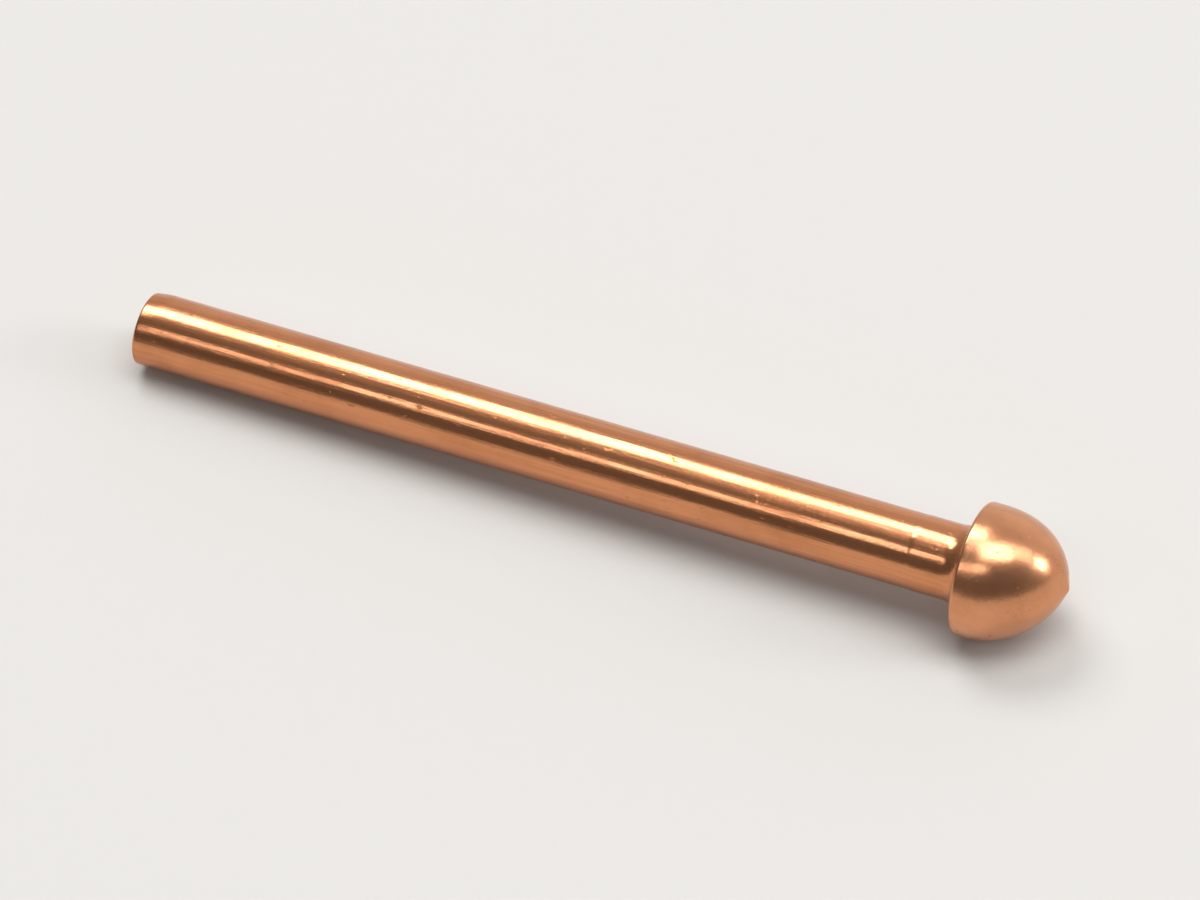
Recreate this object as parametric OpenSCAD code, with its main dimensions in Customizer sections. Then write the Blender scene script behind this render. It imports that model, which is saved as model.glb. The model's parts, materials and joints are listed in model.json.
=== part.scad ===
// Weld stud: a wire pin with a cold-headed end. The pointed head is spot-welded to a panel
// and the plain shank is gripped and pulled. It lies as it comes to rest on a level surface,
// on the rim of its head and the edge of its sheared end. Millimetres and degrees.

/* [Shank] */
// Diameter of the drawn wire
shank_d = 2.6; // [2.4:0.05:2.8]
// Length from the sheared end to the underside of the head
shank_len = 30; // [20:0.5:40]
// Rounding that shearing leaves around the plain end
end_edge_r = 0.12; // [0.05:0.01:0.25]
// Fillet where the shank runs into the head
neck_r = 0.45; // [0.2:0.05:0.5]

/* [Head] */
// Diameter of the rim
head_d = 4.6; // [4.4:0.05:5]
// Rounding of the rim's lower edge
rim_edge_r = 0.15; // [0.05:0.01:0.25]
// Height of the rim's straight land above the head's underside
land_h = 0.5; // [0.3:0.05:0.8]
// Radius of the arc that the dome follows between the land and the tip
dome_r = 2.9; // [2.4:0.05:3.2]

/* [Welding tip] */
// Included angle of the tip's cone
tip_angle = 136; // [124:1:142]
// Rounding of the tip's point
tip_r = 0.3; // [0.1:0.05:0.5]

/* [Hidden] */
$fn = 96;
copper_plate = [0.82, 0.48, 0.3];
// Angle of the faint edges where the die's cone meets the dome and the point
die_edge = 3;

shank_r = shank_d / 2;
head_r = head_d / 2;
tip_half = tip_angle / 2;
// Distance from the head's underside, along the axis, to where the cone's flanks would meet
apex_h = land_h + ((head_r - dome_r) * cos(tip_half) + dome_r * cos(die_edge)) / sin(tip_half);
point_h = apex_h - tip_r * cos(die_edge) / sin(tip_half);
// Feet of the perpendiculars from the two arcs' centres to the cone's flank
dome_foot_h = land_h + dome_r * cos(die_edge) * sin(tip_half);
point_foot_h = point_h + tip_r * cos(die_edge) * sin(tip_half);
// Any radius that clears the whole head
reach = 2 * head_d;

// The lean that lets the rim's edge and the sheared end's edge touch the same level
lie_dr = (head_r - rim_edge_r) - (shank_r - end_edge_r);
lie_ds = shank_len + rim_edge_r - end_edge_r;
lie_tilt = atan2(lie_dr, lie_ds) + asin((rim_edge_r - end_edge_r) / norm([lie_dr, lie_ds]));
lie_z = rim_edge_r * (1 - sin(lie_tilt)) + (head_r - rim_edge_r) * cos(lie_tilt);
lie_x_low = (end_edge_r - shank_len) * cos(lie_tilt) - (shank_r - end_edge_r) * sin(lie_tilt) - end_edge_r;
lie_x_high = point_h * cos(lie_tilt) + tip_r;
lie_x = -(lie_x_low + lie_x_high) / 2;

// Half section of a disc that stands on its lower face, with that face's edge rounded
module rounded_bar(radius, height, edge_r) {
    square([radius - edge_r, height]);
    translate([0, edge_r])
        square([radius, height - edge_r]);
    translate([radius - edge_r, edge_r])
        circle(edge_r);
}

// Half section of the drawn wire, with the fillet under the head
module shank_section() {
    translate([0, -shank_len])
        rounded_bar(shank_r, shank_len, end_edge_r);
    translate([0, -neck_r])
        difference() {
            square([shank_r + neck_r, neck_r]);
            translate([shank_r + neck_r, 0])
                circle(neck_r);
        }
}

// What the die leaves around the dome, up to the foot of the cone's flank
module dome_section() {
    rounded_bar(head_r, land_h, rim_edge_r);
    intersection() {
        translate([head_r - dome_r, land_h])
            circle(dome_r);
        translate([0, land_h])
            square([reach, dome_r]);
    }
    translate([0, dome_foot_h])
        square([reach, reach]);
}

// What the die leaves around the point, from the foot of its rounding
module point_section() {
    square([reach, point_foot_h]);
    translate([0, point_h])
        circle(tip_r);
}

// Half section of the headed end
module head_section() {
    intersection() {
        polygon([[0, 0], [apex_h * tan(tip_half), 0], [0, apex_h]]);
        dome_section();
        point_section();
    }
}

module weld_stud() {
    color(copper_plate)
        translate([lie_x, 0, lie_z])
            rotate([0, 90 - lie_tilt, 0])
                rotate_extrude() {
                    shank_section();
                    head_section();
                }
}

weld_stud();
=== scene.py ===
"""Dresses a copper-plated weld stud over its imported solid, and sets its studio and camera."""

import json
import logging
import math
from dataclasses import dataclass, field
from enum import Enum
from typing import Any

import bpy
from mathutils import Matrix, Vector


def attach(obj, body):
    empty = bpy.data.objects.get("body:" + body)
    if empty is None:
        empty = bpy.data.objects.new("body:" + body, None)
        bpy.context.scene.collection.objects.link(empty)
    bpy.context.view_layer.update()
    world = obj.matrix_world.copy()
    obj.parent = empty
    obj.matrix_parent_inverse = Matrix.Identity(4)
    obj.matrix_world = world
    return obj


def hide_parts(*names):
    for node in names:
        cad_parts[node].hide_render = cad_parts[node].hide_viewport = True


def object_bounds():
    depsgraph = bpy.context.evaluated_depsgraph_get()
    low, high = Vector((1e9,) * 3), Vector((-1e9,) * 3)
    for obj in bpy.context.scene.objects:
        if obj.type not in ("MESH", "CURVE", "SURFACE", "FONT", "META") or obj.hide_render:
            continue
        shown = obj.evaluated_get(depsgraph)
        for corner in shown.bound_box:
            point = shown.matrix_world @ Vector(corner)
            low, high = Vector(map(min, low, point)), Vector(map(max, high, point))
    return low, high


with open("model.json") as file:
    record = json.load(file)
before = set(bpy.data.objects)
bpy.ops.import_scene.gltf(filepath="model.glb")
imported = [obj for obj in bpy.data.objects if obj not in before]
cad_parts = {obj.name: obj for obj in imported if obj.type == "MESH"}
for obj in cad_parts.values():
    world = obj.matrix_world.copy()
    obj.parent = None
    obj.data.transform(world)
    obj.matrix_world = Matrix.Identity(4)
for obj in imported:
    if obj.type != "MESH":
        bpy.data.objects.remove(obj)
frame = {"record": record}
CAD_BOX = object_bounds()

LOG = logging.getLogger("weld_stud_scene")
MM = 0.001
WHITE = (1.0, 1.0, 1.0, 1.0)

# The sRGB curve: where its straight foot ends and how steep that is, then the offset and power of the rest
SRGB_FOOT = 0.04045
SRGB_SLOPE = 12.92
SRGB_OFFSET = 0.055
SRGB_POWER = 2.4

# Places of the Mix node's sockets when it mixes colours
MIX_FACTOR = 0
MIX_FIRST = 6
MIX_SECOND = 7
MIX_RESULT = 2

# Radius and place along the stud's axis, in millimetres, from the middle of the head's underside
Point = tuple[float, float]


class Zone(Enum):
    """The parts of the stud's surface that different tools left."""

    DRAWN_SHANK = "drawn"
    FORMED_HEAD = "cold headed"
    SHEARED_END = "sheared"


def linear(hex_colour: str) -> tuple[float, float, float, float]:
    """Turns an sRGB hex colour into the linear colour that a socket takes.

    Args:
        hex_colour: Six hexadecimal digits after a hash sign.

    Returns:
        Red, green, blue and an alpha of one.
    """
    channels: list[float] = []
    for start in (1, 3, 5):
        value = int(hex_colour[start:start + 2], 16) / 255
        curved = ((value + SRGB_OFFSET) / (1 + SRGB_OFFSET)) ** SRGB_POWER
        channels.append(value / SRGB_SLOPE if value <= SRGB_FOOT else curved)
    return (channels[0], channels[1], channels[2], 1.0)


def add_node(
    tree: bpy.types.NodeTree,
    kind: str,
    settings: dict[str, Any] | None = None,
    inputs: dict[str | int, Any] | None = None,
) -> bpy.types.Node:
    """Adds a node to a tree, with its settings, values and links.

    Args:
        tree: The shader or geometry tree that takes the node.
        kind: The node's type name.
        settings: Properties of the node itself.
        inputs: For each input, by name or place, a value, a socket to link from, or a node whose
            first output is linked.

    Returns:
        The new node.
    """
    node = tree.nodes.new(kind)
    for name, value in (settings or {}).items():
        setattr(node, name, value)
    for key, value in (inputs or {}).items():
        source = value.outputs[0] if isinstance(value, bpy.types.Node) else value
        if isinstance(source, bpy.types.NodeSocket):
            tree.links.new(source, node.inputs[key])
        else:
            node.inputs[key].default_value = source
    return node


def line(start: Point, end: Point, steps: int) -> list[Point]:
    """Points along a straight stretch of the half section.

    Args:
        start: Where it starts, which is left out.
        end: Where it ends.
        steps: How many points to give.

    Returns:
        The points after start, up to end.
    """
    shares = [i / steps for i in range(1, steps + 1)]
    return [(start[0] + (end[0] - start[0]) * s, start[1] + (end[1] - start[1]) * s) for s in shares]


def arc(centre: Point, radii: Point, start: float, end: float, steps: int) -> list[Point]:
    """Points along a round stretch of the half section.

    Args:
        centre: The arc's centre.
        radii: How far the arc reaches from its centre, outward and along the axis.
        start: Angle from the outward direction where it starts, in degrees, which is left out.
        end: Angle where it ends.
        steps: How many points to give.

    Returns:
        The points after start, up to end.
    """
    angles = [math.radians(start + (end - start) * i / steps) for i in range(1, steps + 1)]
    return [(centre[0] + radii[0] * math.cos(a), centre[1] + radii[1] * math.sin(a)) for a in angles]


@dataclass(frozen=True)
class Lie:
    """Where the stud lies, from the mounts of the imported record."""

    # The tip of the head, and the direction from the sheared end to it
    tip: Vector
    axis: Vector

    @classmethod
    def from_frame(cls) -> "Lie":
        """Reads the welding tip's place and direction."""
        mount = next(m for m in frame["record"]["mounts"] if m["name"] == "welding_tip")
        return cls(Vector(mount["pos_m"]), Vector(mount["axis"]).normalized())

    @property
    def turn(self) -> tuple[float, float, float]:
        """The turn that brings the X axis to the stud's axis."""
        return (0.0, -math.asin(self.axis.z), 0.0)

    def at(self, along: float) -> Vector:
        """The point on the axis that lies along millimetres past the tip."""
        return self.tip + self.axis * along * MM


@dataclass(frozen=True)
class SectionSteps:
    """How many points each stretch of the half section gets, from the sheared end to the tip."""

    end_face: int = 20
    end_edge: int = 8
    shank: int = 320
    # Closer together than along the shank, to carry the step at the grip's edge
    grip: int = 40
    neck: int = 18
    underside: int = 6
    rim_edge: int = 8
    land: int = 6
    dome: int = 40
    tip_flank: int = 10
    tip_cap: int = 6


@dataclass(frozen=True)
class StudSizes:
    """The stud's sizes in millimetres and degrees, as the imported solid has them."""

    shank_d: float = 2.6
    shank_len: float = 30.0
    end_edge_r: float = 0.12
    head_d: float = 4.6
    rim_edge_r: float = 0.15
    land_h: float = 0.5
    dome_r: float = 2.9
    tip_angle: float = 136.0
    tip_r: float = 0.3
    die_edge: float = 3.0
    # The flare that heading leaves under the head
    neck_out: float = 0.5
    neck_len: float = 0.75
    # Length next to the head that the heading die gripped, and how many such lengths get the closer points
    grip_len: float = 1.7
    grip_close: float = 1.4
    # How far ahead of its own start the tip's rounding is counted, because an arc leaves out its first point
    cap_lead: float = 4.0
    steps: SectionSteps = SectionSteps()

    @property
    def shank_r(self) -> float:
        """The wire's radius."""
        return self.shank_d / 2

    @property
    def head_r(self) -> float:
        """The rim's radius."""
        return self.head_d / 2

    @property
    def point_h(self) -> float:
        """Finds where the tip's rounding touches the flank that runs up from the dome.

        Returns:
            Height of the rounding's centre above the head's underside.
        """
        half, edge = math.radians(self.tip_angle / 2), math.radians(self.die_edge)
        flank = (self.head_r - self.dome_r) * math.cos(half) + self.dome_r * math.cos(edge)
        return self.land_h + (flank - self.tip_r * math.cos(edge)) / math.sin(half)

    @property
    def head_len(self) -> float:
        """Length from the head's underside to the tip."""
        return self.point_h + self.tip_r

    def half_section(self) -> list[Point]:
        """Points of the half section, from the middle of the sheared end to the tip.

        Returns:
            The points, close enough together to take the marks that are pressed into the skin.
        """
        steps = self.steps
        edge, rim_edge = self.end_edge_r, self.rim_edge_r
        end, rim = self.shank_r - edge, self.head_r - rim_edge
        flank = self.tip_angle / 2
        neck_centre = (self.shank_r + self.neck_out, -self.neck_len)
        dome_centre = (self.head_r - self.dome_r, self.land_h)
        cap_from = flank + self.die_edge - self.cap_lead
        points: list[Point] = [(0.0, -self.shank_len)]
        points += line(points[-1], (end, -self.shank_len), steps.end_face)
        points += arc((end, edge - self.shank_len), (edge, edge), -90, 0, steps.end_edge)
        points += line(points[-1], (self.shank_r, -self.grip_close * self.grip_len), steps.shank)
        points += line(points[-1], (self.shank_r, -self.neck_len), steps.grip)
        points += arc(neck_centre, (self.neck_out, self.neck_len), 180, 90, steps.neck)
        points += line(points[-1], (rim, 0.0), steps.underside)
        points += arc((rim, rim_edge), (rim_edge, rim_edge), -90, 0, steps.rim_edge)
        points += line(points[-1], (self.head_r, self.land_h), steps.land)
        points += arc(dome_centre, (self.dome_r, self.dome_r), 0, flank - self.die_edge, steps.dome)
        cap = arc((0.0, self.point_h), (self.tip_r, self.tip_r), cap_from, 90, steps.tip_cap)
        points += line(points[-1], cap[0], steps.tip_flank)
        points += cap[1:-1]
        points.append((0.0, self.head_len))
        return points


@dataclass(frozen=True)
class CopperFinish:
    """Bright copper electroplate over cold-worked steel wire.

    The plate is so thin that it keeps every mark of the tool that shaped the steel, so the eye reads
    the tool from how the highlights break: long lines on the drawn shank, a faint skin on the head
    that a die pressed smooth, and grain on the face that the shear tore.
    """

    name: str
    bright: str
    tarnished: str
    roughness: tuple[float, float]
    # Spacing of the tool's marks along and across the stud, and their depth, in millimetres; real ones
    # are a few hundredths apart, and they are drawn coarser so that they show
    mark_along: float
    mark_across: float
    mark_depth: float
    # How much the marks darken, as a share of full tarnish
    mark_tint: float
    # Width and depth of the plating's grain, in millimetres; real grain is a few micrometres wide,
    # and it is drawn coarser so that it shows
    grain: float
    grain_depth: float
    # Spacing and depth of small dull flecks, in millimetres, and the level of their noise that shows
    fleck: float
    fleck_depth: float
    fleck_from: float
    # Share of full tarnish that blotches reach, and their width in millimetres
    blotch_tint: float
    blotch: float
    # Levels of noise over which a fleck's edge, a blotch and a tool's mark come up
    fleck_edge: float = 0.07
    blotch_band: tuple[float, float] = (0.4, 0.8)
    mark_band: tuple[float, float] = (0.35, 0.75)
    # Share of full tarnish that a fleck adds, and how many times as long as wide it is
    fleck_tint: float = 0.5
    fleck_stretch: float = 2.0

    def build(self, origin: Vector, turn: tuple[float, float, float]) -> bpy.types.Material:
        """Makes the material.

        Args:
            origin: The point on the stud's axis that its patterns are measured from.
            turn: The turn that brings the X axis to the stud's axis.

        Returns:
            The new material.
        """
        material = bpy.data.materials.new(self.name)
        material.use_nodes = True
        tree = material.node_tree
        tree.nodes.clear()
        where = add_node(tree, "ShaderNodeTexCoord")
        # Millimetres along and across the stud's own axis
        place = add_node(tree, "ShaderNodeMapping", {"vector_type": "TEXTURE"}, {
            "Vector": where.outputs["Object"], "Location": origin, "Rotation": turn, "Scale": (MM, MM, MM),
        })
        stretched = add_node(tree, "ShaderNodeVectorMath", {"operation": "DIVIDE"}, {
            0: place, 1: (self.mark_along, self.mark_across, self.mark_across),
        })
        marks = add_node(tree, "ShaderNodeTexNoise", None, {
            "Vector": stretched, "Scale": 1.0, "Detail": 3.0, "Roughness": 0.6,
        })
        grain = add_node(tree, "ShaderNodeTexNoise", None, {
            "Vector": place, "Scale": 1 / self.grain, "Detail": 2.0, "Roughness": 0.5,
        })
        drawn_out = add_node(tree, "ShaderNodeVectorMath", {"operation": "DIVIDE"}, {
            0: place, 1: (self.fleck_stretch * self.fleck, self.fleck, self.fleck),
        })
        specks = add_node(tree, "ShaderNodeTexNoise", None, {
            "Vector": drawn_out, "Scale": 1.0, "Detail": 4.0, "Roughness": 0.65,
        })
        flecks = add_node(tree, "ShaderNodeMapRange", {"interpolation_type": "SMOOTHSTEP"}, {
            "Value": specks, "From Min": self.fleck_from, "From Max": self.fleck_from + self.fleck_edge,
        })
        blotches = add_node(tree, "ShaderNodeTexNoise", None, {
            "Vector": place, "Scale": 1 / self.blotch, "Detail": 5.0, "Roughness": 0.65,
        })
        stain = add_node(tree, "ShaderNodeMapRange", {"interpolation_type": "SMOOTHSTEP"}, {
            "Value": blotches, "From Min": self.blotch_band[0], "From Max": self.blotch_band[1],
            "To Max": self.blotch_tint,
        })
        streak = add_node(tree, "ShaderNodeMapRange", None, {
            "Value": marks, "From Min": self.mark_band[0], "From Max": self.mark_band[1],
            "To Max": self.mark_tint,
        })
        dulled = add_node(tree, "ShaderNodeMath", {"operation": "ADD"}, {0: stain, 1: streak})
        tarnish = add_node(tree, "ShaderNodeMath", {"operation": "MULTIPLY_ADD", "use_clamp": True}, {
            0: flecks, 1: self.fleck_tint, 2: dulled,
        })
        colour = add_node(tree, "ShaderNodeMix", {"data_type": "RGBA"}, {
            MIX_FACTOR: tarnish, MIX_FIRST: linear(self.bright), MIX_SECOND: linear(self.tarnished),
        })
        gloss = add_node(tree, "ShaderNodeMapRange", None, {
            "Value": tarnish, "To Min": self.roughness[0], "To Max": self.roughness[1],
        })
        tooled = add_node(tree, "ShaderNodeMath", {"operation": "MULTIPLY"}, {
            0: marks, 1: self.mark_depth,
        })
        grained = add_node(tree, "ShaderNodeMath", {"operation": "MULTIPLY_ADD"}, {
            0: grain, 1: self.grain_depth, 2: tooled,
        })
        flecked = add_node(tree, "ShaderNodeMath", {"operation": "MULTIPLY_ADD"}, {
            0: flecks, 1: -self.fleck_depth, 2: grained,
        })
        relief = add_node(tree, "ShaderNodeBump", None, {
            "Height": flecked, "Strength": 1.0, "Distance": MM,
        })
        shader = add_node(tree, "ShaderNodeBsdfPrincipled", None, {
            "Base Color": colour.outputs[MIX_RESULT], "Metallic": 1.0, "Roughness": gloss, "Normal": relief,
        })
        add_node(tree, "ShaderNodeOutputMaterial", None, {"Surface": shader})
        return material


FINISHES: dict[Zone, CopperFinish] = {
    # Drawn through a die, so fine lines run along the wire and fray the edges of its highlights
    Zone.DRAWN_SHANK: CopperFinish(
        name="copper_plate_drawn", bright="#DC956A", tarnished="#A5653A", roughness=(0.17, 0.32),
        mark_along=4.0, mark_across=0.11, mark_depth=0.006, mark_tint=0.35,
        grain=0.14, grain_depth=0.003, fleck=0.3, fleck_depth=0.006, fleck_from=0.65,
        blotch_tint=0.35, blotch=2.6,
    ),
    # Pressed smooth by the heading die, so it mirrors more softly and evenly than the shank
    Zone.FORMED_HEAD: CopperFinish(
        name="copper_plate_cold_headed", bright="#DE9B72", tarnished="#A96A42", roughness=(0.24, 0.34),
        mark_along=0.6, mark_across=0.5, mark_depth=0.009, mark_tint=0.2,
        grain=0.16, grain_depth=0.002, fleck=0.3, fleck_depth=0.006, fleck_from=0.67,
        blotch_tint=0.35, blotch=1.6,
    ),
    # Torn across by the shear before plating, so it is matt, pale and grainy
    Zone.SHEARED_END: CopperFinish(
        name="copper_plate_sheared", bright="#E6AE8C", tarnished="#B27A56", roughness=(0.42, 0.55),
        mark_along=0.12, mark_across=0.12, mark_depth=0.03, mark_tint=0.6,
        grain=0.07, grain_depth=0.008, fleck=0.16, fleck_depth=0.015, fleck_from=0.64,
        blotch_tint=0.4, blotch=0.8,
    ),
}


@dataclass
class WeldStud:
    """The stud itself: one wire blank, drawn, sheared, cold-headed and plated."""

    sizes: StudSizes = field(default_factory=StudSizes)
    lie: Lie = field(default_factory=Lie.from_frame)
    facets: int = 128
    # Points of the turned skin that lie closer than this become one, in millimetres
    merge_gap: float = 0.0005
    # Where the head's finish starts along the axis, and how far up the sheared face's reaches
    head_from: float = -0.02
    face_skin: float = 0.01
    # How far the drawn wire wanders from round, over what length, in millimetres
    wander: float = 0.008
    wander_len: float = 2.4
    # Knocks from rough handling: how deep, how wide and how far apart, in millimetres
    nick_depth: float = 0.03
    nick_r: float = 0.34
    nick_gap: float = 2.2
    # The torn face that the shear leaves: how deep its grain is, how wide, and how far up it reaches
    torn_depth: float = 0.03
    torn_grain: float = 0.17
    torn_skin: float = 0.06
    # How far that face leans, how far its edge is drawn over, and how far up the shank both can be seen
    shear_lean: float = 0.05
    drawn_over: float = 0.07
    shear_reach: float = 0.7
    # The step at the end of the length that the heading die gripped: its height and the length of its
    # slope, then how far its edge strays and in how many waves to the millimetre
    grip_step: float = 0.012
    grip_slope: float = 0.16
    grip_stray: float = 0.5
    grip_waves: float = 1.6
    # How far the heading blow pushed the tip off the axis, sideways and up, in millimetres
    tip_drift: tuple[float, float, float] = (0.0, 0.14, 0.12)
    seed: float = 3.7

    def tree_values(self) -> dict[str, Any]:
        """Collects what the tree is given.

        Returns:
            The values of the tree's named inputs, lengths in millimetres.
        """
        return {
            "Facets": self.facets,
            "Merge gap": self.merge_gap,
            "Shank length": self.sizes.shank_len,
            "Shank radius": self.sizes.shank_r,
            "Land height": self.sizes.land_h,
            "Head length": self.sizes.head_len,
            "Head from": self.head_from,
            "Face skin": self.face_skin,
            "Grip length": self.sizes.grip_len,
            "Grip step": self.grip_step,
            "Grip slope": self.grip_slope,
            "Grip stray": self.grip_stray,
            "Grip waves": self.grip_waves,
            "Wander": self.wander,
            "Wander length": self.wander_len,
            "Nick depth": self.nick_depth,
            "Nick radius": self.nick_r,
            "Nick gap": self.nick_gap,
            "Torn depth": self.torn_depth,
            "Torn grain": self.torn_grain,
            "Torn skin": self.torn_skin,
            "Shear lean": self.shear_lean,
            "Shear reach": self.shear_reach,
            "Drawn over": self.drawn_over,
            "Tip drift": self.tip_drift,
            "Seed": self.seed,
            "Lie place": self.lie.at(-self.sizes.head_len),
            "Lie turn": self.lie.turn,
        }

    def revolve_tree(self, materials: dict[Zone, bpy.types.Material]) -> bpy.types.NodeTree:
        """Makes the tree that turns the half section into the whole stud and marks its surface.

        Args:
            materials: The finish of each zone.

        Returns:
            A geometry tree with named inputs for the sizes of what it does.
        """
        tree = bpy.data.node_groups.new("stud_revolve", "GeometryNodeTree")
        tree.interface.new_socket("Half section", in_out="INPUT", socket_type="NodeSocketGeometry")
        for name, value in self.tree_values().items():
            kind = {int: "NodeSocketInt", float: "NodeSocketFloat"}.get(type(value), "NodeSocketVector")
            tree.interface.new_socket(name, in_out="INPUT", socket_type=kind)
        tree.interface.new_socket("Stud", in_out="OUTPUT", socket_type="NodeSocketGeometry")
        given = add_node(tree, "NodeGroupInput").outputs

        turned = self._turn_section(tree, given)
        # Each face's place along the plain stud tells which tool shaped it, before any mark moves it
        place = add_node(tree, "GeometryNodeInputPosition")
        along = add_node(tree, "ShaderNodeSeparateXYZ", None, {0: place})
        kept = add_node(tree, "GeometryNodeCaptureAttribute", {"domain": "FACE"}, {"Geometry": turned})
        kept.capture_items.new("FLOAT", "Along")
        tree.links.new(along.outputs["X"], kept.inputs["Along"])
        skin = self._mark_skin(tree, given, kept)
        skin = self._shear_end(tree, given, skin)
        skin = self._drift_tip(tree, given, skin)
        skin = add_node(tree, "GeometryNodeSetShadeSmooth", None, {0: skin})
        laid = add_node(tree, "GeometryNodeTransform", None, {
            "Geometry": skin, "Translation": given["Lie place"], "Rotation": given["Lie turn"],
            "Scale": (MM, MM, MM),
        })
        skin = add_node(tree, "GeometryNodeRealizeInstances", None, {0: laid})
        face_end = add_node(tree, "ShaderNodeMath", {"operation": "SUBTRACT"}, {
            0: given["Face skin"], 1: given["Shank length"],
        })
        is_head = add_node(tree, "FunctionNodeCompare", {"operation": "GREATER_THAN"}, {
            0: kept.outputs["Along"], 1: given["Head from"],
        })
        is_torn = add_node(tree, "FunctionNodeCompare", {"operation": "LESS_THAN"}, {
            0: kept.outputs["Along"], 1: face_end,
        })
        for zone, chosen in (
            (Zone.DRAWN_SHANK, True), (Zone.FORMED_HEAD, is_head), (Zone.SHEARED_END, is_torn),
        ):
            skin = add_node(tree, "GeometryNodeSetMaterial", None, {
                "Geometry": skin, "Selection": chosen, "Material": materials[zone],
            })
        add_node(tree, "NodeGroupOutput", None, {0: skin})
        return tree

    @staticmethod
    def _turn_section(
        tree: bpy.types.NodeTree, given: bpy.types.bpy_prop_collection,
    ) -> bpy.types.Node:
        """Turns the half section about the X axis into a closed skin.

        Args:
            tree: The tree that takes the nodes.
            given: The sockets of its inputs.

        Returns:
            The node that gives the skin, in millimetres.
        """
        rings = add_node(tree, "GeometryNodeAttributeDomainSize", {"component": "MESH"}, {
            0: given["Half section"],
        })
        last = add_node(tree, "ShaderNodeMath", {"operation": "SUBTRACT"}, {0: rings, 1: 1.0})
        steps = add_node(tree, "ShaderNodeMath", {"operation": "ADD"}, {0: given["Facets"], 1: 1.0})
        grid = add_node(tree, "GeometryNodeMeshGrid", None, {
            "Size X": last, "Size Y": 1.0, "Vertices X": rings, "Vertices Y": steps,
        })
        place = add_node(tree, "GeometryNodeInputPosition")
        at = add_node(tree, "ShaderNodeSeparateXYZ", None, {0: place}).outputs
        # The grid is centred on the origin, so its first ring lies half its length before it
        ring = add_node(tree, "ShaderNodeMath", {"operation": "MULTIPLY_ADD"}, {
            0: last, 1: 0.5, 2: at["X"],
        })
        nearest = add_node(tree, "ShaderNodeMath", {"operation": "ROUND"}, {0: ring})
        sampled = add_node(tree, "GeometryNodeSampleIndex", {
            "data_type": "FLOAT_VECTOR", "domain": "POINT",
        }, {
            "Geometry": given["Half section"], "Value": place, "Index": nearest,
        })
        section = add_node(tree, "ShaderNodeSeparateXYZ", None, {0: sampled}).outputs
        # The grid's second side runs backwards round the axis, which turns its faces outwards
        turn = add_node(tree, "ShaderNodeMath", {"operation": "MULTIPLY"}, {0: at["Y"], 1: -math.tau})
        cos = add_node(tree, "ShaderNodeMath", {"operation": "COSINE"}, {0: turn})
        sin = add_node(tree, "ShaderNodeMath", {"operation": "SINE"}, {0: turn})
        across = add_node(tree, "ShaderNodeMath", {"operation": "MULTIPLY"}, {0: section["X"], 1: cos})
        upward = add_node(tree, "ShaderNodeMath", {"operation": "MULTIPLY"}, {0: section["X"], 1: sin})
        turned = add_node(tree, "GeometryNodeSetPosition", None, {
            "Geometry": grid,
            "Position": add_node(tree, "ShaderNodeCombineXYZ", None, {0: section["Y"], 1: across, 2: upward}),
        })
        return add_node(tree, "GeometryNodeMergeByDistance", None, {
            "Geometry": turned, "Distance": given["Merge gap"],
        })

    @staticmethod
    def _mark_skin(
        tree: bpy.types.NodeTree, given: bpy.types.bpy_prop_collection, skin: bpy.types.Node,
    ) -> bpy.types.Node:
        """Presses the wire's wander, the knocks and the grip's edge into the skin, always inwards.

        Args:
            tree: The tree that takes the nodes.
            given: The sockets of its inputs.
            skin: The node that gives the plain skin.

        Returns:
            The node that gives the marked skin.
        """
        place = add_node(tree, "GeometryNodeInputPosition")
        wander_scale = add_node(tree, "ShaderNodeMath", {"operation": "DIVIDE"}, {
            0: 1.0, 1: given["Wander length"],
        })
        wander = add_node(tree, "ShaderNodeTexNoise", {"noise_dimensions": "4D"}, {
            "Vector": place, "W": given["Seed"], "Scale": wander_scale, "Detail": 1.0,
        })
        nick_scale = add_node(tree, "ShaderNodeMath", {"operation": "DIVIDE"}, {
            0: 1.0, 1: given["Nick gap"],
        })
        cells = add_node(tree, "ShaderNodeTexVoronoi", {"voronoi_dimensions": "4D", "feature": "F1"}, {
            "Vector": place, "W": given["Seed"], "Scale": nick_scale,
        })
        nick_reach = add_node(tree, "ShaderNodeMath", {"operation": "MULTIPLY"}, {
            0: given["Nick radius"], 1: nick_scale,
        })
        nick = add_node(tree, "ShaderNodeMapRange", {"interpolation_type": "SMOOTHSTEP"}, {
            "Value": cells, "From Min": 0.0, "From Max": nick_reach,
            "To Min": given["Nick depth"], "To Max": 0.0,
        })
        along = add_node(tree, "ShaderNodeSeparateXYZ", None, {0: place}).outputs["X"]
        rough = add_node(tree, "ShaderNodeTexNoise", {"noise_dimensions": "4D"}, {
            "Vector": place, "W": given["Seed"], "Scale": given["Grip waves"], "Detail": 3.0,
        })
        strayed = add_node(tree, "ShaderNodeMath", {"operation": "MULTIPLY_ADD"}, {
            0: rough, 1: given["Grip stray"], 2: along,
        })
        past_grip = add_node(tree, "ShaderNodeMath", {"operation": "ADD"}, {
            0: strayed, 1: given["Grip length"],
        })
        stepped = add_node(tree, "ShaderNodeMapRange", {"interpolation_type": "SMOOTHSTEP"}, {
            "Value": past_grip, "From Min": 0.0, "From Max": given["Grip slope"],
            "To Min": given["Grip step"], "To Max": 0.0,
        })
        shallow = add_node(tree, "ShaderNodeMath", {"operation": "MULTIPLY_ADD"}, {
            0: wander, 1: given["Wander"], 2: nick,
        })
        depth = add_node(tree, "ShaderNodeMath", {"operation": "ADD"}, {0: shallow, 1: stepped})
        inward = add_node(tree, "ShaderNodeMath", {"operation": "MULTIPLY"}, {0: depth, 1: -1.0})
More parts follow.
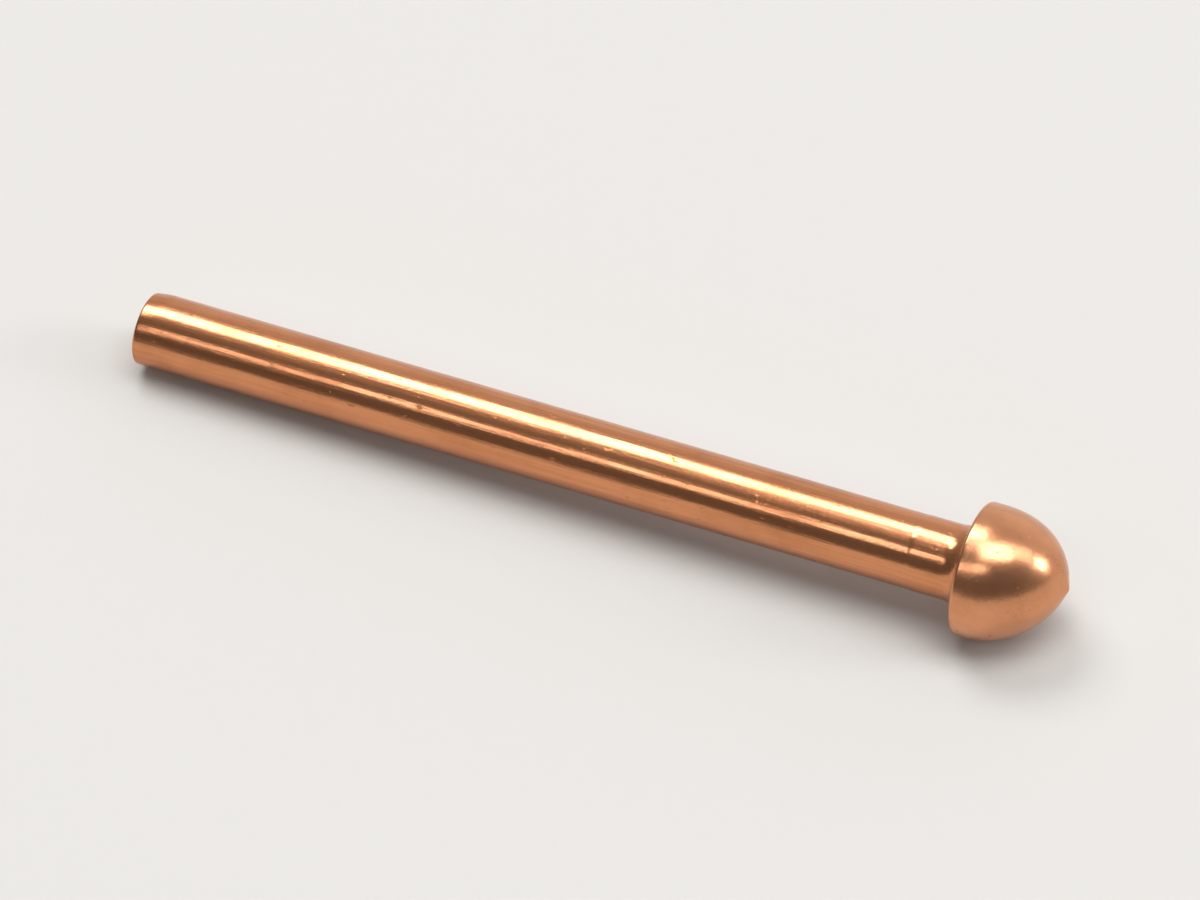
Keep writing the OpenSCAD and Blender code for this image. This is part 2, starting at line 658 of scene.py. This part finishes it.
        pressed = add_node(tree, "ShaderNodeVectorMath", {"operation": "SCALE"}, {
            0: add_node(tree, "GeometryNodeInputNormal"), "Scale": inward,
        })
        return add_node(tree, "GeometryNodeSetPosition", None, {"Geometry": skin, "Offset": pressed})

    @staticmethod
    def _shear_end(
        tree: bpy.types.NodeTree, given: bpy.types.bpy_prop_collection, skin: bpy.types.Node,
    ) -> bpy.types.Node:
        """Gives the plain end the lean, the torn grain and the drawn-over edge of a sheared wire.

        Args:
            tree: The tree that takes the nodes.
            given: The sockets of its inputs.
            skin: The node that gives the skin so far.

        Returns:
            The node that gives the skin with its sheared end.
        """
        place = add_node(tree, "GeometryNodeInputPosition")
        at = add_node(tree, "ShaderNodeSeparateXYZ", None, {0: place}).outputs
        from_end = add_node(tree, "ShaderNodeMath", {"operation": "ADD"}, {
            0: at["X"], 1: given["Shank length"],
        })
        near_end = add_node(tree, "ShaderNodeMapRange", {"interpolation_type": "SMOOTHSTEP"}, {
            "Value": from_end, "From Min": 0.0, "From Max": given["Shear reach"],
            "To Min": 1.0, "To Max": 0.0,
        })
        # From nought on the side where the shear broke through to one on the side where it started
        side = add_node(tree, "ShaderNodeMath", {"operation": "DIVIDE"}, {
            0: at["Y"], 1: given["Shank radius"],
        })
        one_side = add_node(tree, "ShaderNodeMapRange", None, {
            "Value": side, "From Min": -1.0, "From Max": 1.0,
        })
        leaning = add_node(tree, "ShaderNodeMath", {"operation": "MULTIPLY"}, {
            0: one_side, 1: given["Shear lean"],
        })
        torn_scale = add_node(tree, "ShaderNodeMath", {"operation": "DIVIDE"}, {
            0: 1.0, 1: given["Torn grain"],
        })
        torn = add_node(tree, "ShaderNodeTexNoise", {"noise_dimensions": "4D"}, {
            "Vector": place, "W": given["Seed"], "Scale": torn_scale, "Detail": 3.0,
        })
        on_face = add_node(tree, "ShaderNodeMapRange", None, {
            "Value": from_end, "From Min": 0.0, "From Max": given["Torn skin"],
            "To Min": 1.0, "To Max": 0.0,
        })
        torn_here = add_node(tree, "ShaderNodeMath", {"operation": "MULTIPLY"}, {0: torn, 1: on_face})
        pushed = add_node(tree, "ShaderNodeMath", {"operation": "MULTIPLY_ADD"}, {
            0: torn_here, 1: given["Torn depth"], 2: leaning,
        })
        along = add_node(tree, "ShaderNodeMath", {"operation": "MULTIPLY"}, {0: pushed, 1: near_end})
        drawn = add_node(tree, "ShaderNodeMath", {"operation": "MULTIPLY"}, {0: one_side, 1: near_end})
        drawn_share = add_node(tree, "ShaderNodeMath", {"operation": "DIVIDE"}, {
            0: given["Drawn over"], 1: given["Shank radius"],
        })
        pull = add_node(tree, "ShaderNodeMath", {"operation": "MULTIPLY"}, {0: drawn, 1: drawn_share})
        pull_y = add_node(tree, "ShaderNodeMath", {"operation": "MULTIPLY"}, {0: at["Y"], 1: pull})
        pull_z = add_node(tree, "ShaderNodeMath", {"operation": "MULTIPLY"}, {0: at["Z"], 1: pull})
        shift = add_node(tree, "ShaderNodeVectorMath", {"operation": "SUBTRACT"}, {
            0: add_node(tree, "ShaderNodeCombineXYZ", None, {0: along}),
            1: add_node(tree, "ShaderNodeCombineXYZ", None, {1: pull_y, 2: pull_z}),
        })
        return add_node(tree, "GeometryNodeSetPosition", None, {"Geometry": skin, "Offset": shift})

    @staticmethod
    def _drift_tip(
        tree: bpy.types.NodeTree, given: bpy.types.bpy_prop_collection, skin: bpy.types.Node,
    ) -> bpy.types.Node:
        """Pushes the tip a little off the axis, as an uneven heading blow does.

        Args:
            tree: The tree that takes the nodes.
            given: The sockets of its inputs.
            skin: The node that gives the skin so far.

        Returns:
            The node that gives the skin with its drifted tip.
        """
        place = add_node(tree, "GeometryNodeInputPosition")
        at = add_node(tree, "ShaderNodeSeparateXYZ", None, {0: place}).outputs
        up_head = add_node(tree, "ShaderNodeMapRange", {"interpolation_type": "SMOOTHSTEP"}, {
            "Value": at["X"], "From Min": given["Land height"], "From Max": given["Head length"],
        })
        shift = add_node(tree, "ShaderNodeVectorMath", {"operation": "SCALE"}, {
            0: given["Tip drift"], "Scale": up_head,
        })
        return add_node(tree, "GeometryNodeSetPosition", None, {"Geometry": skin, "Offset": shift})

    def build(self) -> bpy.types.Object:
        """Builds the stud's mesh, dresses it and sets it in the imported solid's place.

        Returns:
            The finished piece.
        """
        origin = self.lie.at(-self.sizes.head_len)
        materials = {zone: finish.build(origin, self.lie.turn) for zone, finish in FINISHES.items()}
        points = [(radius, along, 0.0) for radius, along in self.sizes.half_section()]
        section = bpy.data.meshes.new("stud_half_section")
        section.from_pydata(points, [(i, i + 1) for i in range(len(points) - 1)], [])
        maker = bpy.data.objects.new("stud_maker", section)
        bpy.context.scene.collection.objects.link(maker)
        tree = self.revolve_tree(materials)
        modifier = maker.modifiers.new("revolve", "NODES")
        modifier.node_group = tree
        values = self.tree_values()
        for item in tree.interface.items_tree:
            if item.in_out == "INPUT" and item.name in values:
                modifier[item.identifier] = values[item.name]
        graph = bpy.context.evaluated_depsgraph_get()
        mesh = bpy.data.meshes.new_from_object(maker.evaluated_get(graph), depsgraph=graph)
        mesh.name = "dressed_weld_stud"
        maker.modifiers.remove(modifier)
        bpy.data.objects.remove(maker)
        piece = bpy.data.objects.new("dressed_weld_stud", mesh)
        bpy.context.scene.collection.objects.link(piece)
        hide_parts("weld_stud")
        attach(piece, "root")
        return piece


@dataclass(frozen=True)
class Softbox:
    """A rectangular lamp that faces the stud."""

    name: str
    # Angle up from the camera's side through the zenith, and sideways, in degrees
    up: float
    aside: float
    # Distance from the stud, width and height, in metres
    distance: float
    width: float
    height: float
    # Brightness of its face, where 1 is a white page
    brightness: float

    def build(self, azimuth: float) -> bpy.types.Object:
        """Makes the lamp.

        Args:
            azimuth: The camera's turn about the stud, in degrees.

        Returns:
            The lamp's object.
        """
        lamp = bpy.data.lights.new(self.name, "AREA")
        lamp.shape = "RECTANGLE"
        lamp.size = self.width
        lamp.size_y = self.height
        lamp.energy = self.brightness * math.pi * self.width * self.height
        turn, up, aside = (math.radians(v) for v in (azimuth, self.up, self.aside))
        right = Vector((math.cos(turn), math.sin(turn), 0.0))
        near = Vector((math.sin(turn), -math.cos(turn), 0.0))
        upward = near * math.cos(up) + Vector((0.0, 0.0, math.sin(up)))
        back = upward * math.cos(aside) + right * math.sin(aside)
        side = (right - back * right.dot(back)).normalized()
        facing = Matrix((side, back.cross(side), back)).transposed().to_4x4()
        obj = bpy.data.objects.new(self.name, lamp)
        obj.matrix_world = Matrix.Translation(back * self.distance) @ facing
        bpy.context.scene.collection.objects.link(obj)
        return obj


@dataclass
class Studio:
    """The pale floor, the soft lamps and the camera."""

    # The photograph's viewing angle, in degrees
    azimuth: float = 23.0
    elevation: float = 48.0
    # Distance to the stud and the nearest and furthest that is drawn, in metres, and lens in millimetres
    distance: float = 0.344
    clip: tuple[float, float] = (0.01, 10.0)
    lens: float = 310.0
    floor_colour: str = "#C8C6C3"
    floor_half: float = 2.0
    # Brightness of the room behind the camera, and of the pale wall opposite it
    room_near: float = 0.16
    room_far: float = 0.95
    # How far that wall is turned to the right of straight behind the stud, in degrees
    pale_aside: float = 32.0
    # How quickly the room darkens away from that wall
    room_fall: float = 2.6
    boxes: tuple[Softbox, ...] = (
        # Makes the broad bright line along the top of the shank
        Softbox(
            "softbox_over", up=116.0, aside=-17.0, distance=0.5, width=0.26, height=0.2, brightness=7.0,
        ),
        # Makes the narrow line below it
        Softbox(
            "softbox_near", up=54.0, aside=-24.0, distance=0.6, width=0.36, height=0.095, brightness=3.0,
        ),
        # Makes the highlight on the dome beside the rim
        Softbox(
            "softbox_side", up=84.0, aside=6.0, distance=0.5, width=0.34, height=0.26, brightness=5.0,
        ),
        # Lets that highlight fade towards the tip, and draws a line along the shank's far side
        Softbox(
            "softbox_right", up=86.0, aside=38.0, distance=0.5, width=0.2, height=0.2, brightness=2.4,
        ),
        # Makes the small highlight beside the tip
        Softbox(
            "softbox_low", up=80.0, aside=65.0, distance=0.5, width=0.15, height=0.13, brightness=9.0,
        ),
    )

    def build_floor(self) -> bpy.types.Object:
        """Makes the floor.

        Returns:
            The floor's object, marked as stage.
        """
        half = self.floor_half
        corners = [(-half, -half, 0.0), (half, -half, 0.0), (half, half, 0.0), (-half, half, 0.0)]
        mesh = bpy.data.meshes.new("paper_floor")
        mesh.from_pydata(corners, [], [(0, 1, 2, 3)])
        # Matt backdrop paper, which keeps the stud's shadow and gives no mirror image of it
        material = bpy.data.materials.new("backdrop_paper")
        material.use_nodes = True
        tree = material.node_tree
        tree.nodes.clear()
        shader = add_node(tree, "ShaderNodeBsdfDiffuse", None, {"Color": linear(self.floor_colour)})
        add_node(tree, "ShaderNodeOutputMaterial", None, {"Surface": shader})
        mesh.materials.append(material)
        floor = bpy.data.objects.new("paper_floor", mesh)
        bpy.context.scene.collection.objects.link(floor)
        return floor

    def build_world(self) -> bpy.types.World:
        """Makes the room: palest behind the stud and to its right, dimmer overhead and by the camera.

        Returns:
            The new world.
        """
        turn = math.radians(self.azimuth - self.pale_aside)
        world = bpy.data.worlds.new("studio_room")
        world.use_nodes = True
        tree = world.node_tree
        tree.nodes.clear()
        seen = add_node(tree, "ShaderNodeTexCoord")
        behind = add_node(tree, "ShaderNodeVectorMath", {"operation": "DOT_PRODUCT"}, {
            0: seen.outputs["Generated"], 1: (-math.sin(turn), math.cos(turn), 0.0),
        })
        share = add_node(tree, "ShaderNodeMapRange", None, {
            "Value": behind.outputs["Value"], "From Min": -1.0, "From Max": 1.0,
        })
        eased = add_node(tree, "ShaderNodeMath", {"operation": "POWER"}, {0: share, 1: self.room_fall})
        level = add_node(tree, "ShaderNodeMapRange", None, {
            "Value": eased, "To Min": self.room_near, "To Max": self.room_far,
        })
        room = add_node(tree, "ShaderNodeBackground", None, {"Color": WHITE, "Strength": level})
        add_node(tree, "ShaderNodeOutputWorld", None, {"Surface": room})
        bpy.context.scene.world = world
        return world

    def build_camera(self) -> bpy.types.Object:
        """Sets the camera at the photograph's viewing angle, aimed at the middle of the stud.

        Returns:
            The camera's object.
        """
        low, high = CAD_BOX
        turn, up = math.radians(self.azimuth), math.radians(self.elevation)
        back = Vector((math.sin(turn) * math.cos(up), -math.cos(turn) * math.cos(up), math.sin(up)))
        data = bpy.data.cameras.new("camera")
        data.lens = self.lens
        data.clip_start, data.clip_end = self.clip
        camera = bpy.data.objects.new("camera", data)
        facing = (-back).to_track_quat("-Z", "Y").to_matrix().to_4x4()
        camera.matrix_world = Matrix.Translation((low + high) / 2 + back * self.distance) @ facing
        bpy.context.scene.collection.objects.link(camera)
        bpy.context.scene.camera = camera
        return camera

    def build(self) -> list[bpy.types.Object]:
        """Builds the whole studio.

        Returns:
            The floor, the lamps and the camera.
        """
        self.build_world()
        return [self.build_floor(), *(box.build(self.azimuth) for box in self.boxes), self.build_camera()]


def main() -> None:
    """Builds the stud and its studio."""
    logging.basicConfig(level=logging.INFO, format="%(name)s: %(message)s")
    bpy.context.scene.view_settings.view_transform = "Standard"
    stud = WeldStud().build()
    LOG.info("%s: %d vertices, %d faces", stud.name, len(stud.data.vertices), len(stud.data.polygons))
    for made in Studio().build():
        LOG.info("%s at %s", made.name, tuple(round(v, 4) for v in made.matrix_world.translation))


if __name__ == "__main__":
    main()
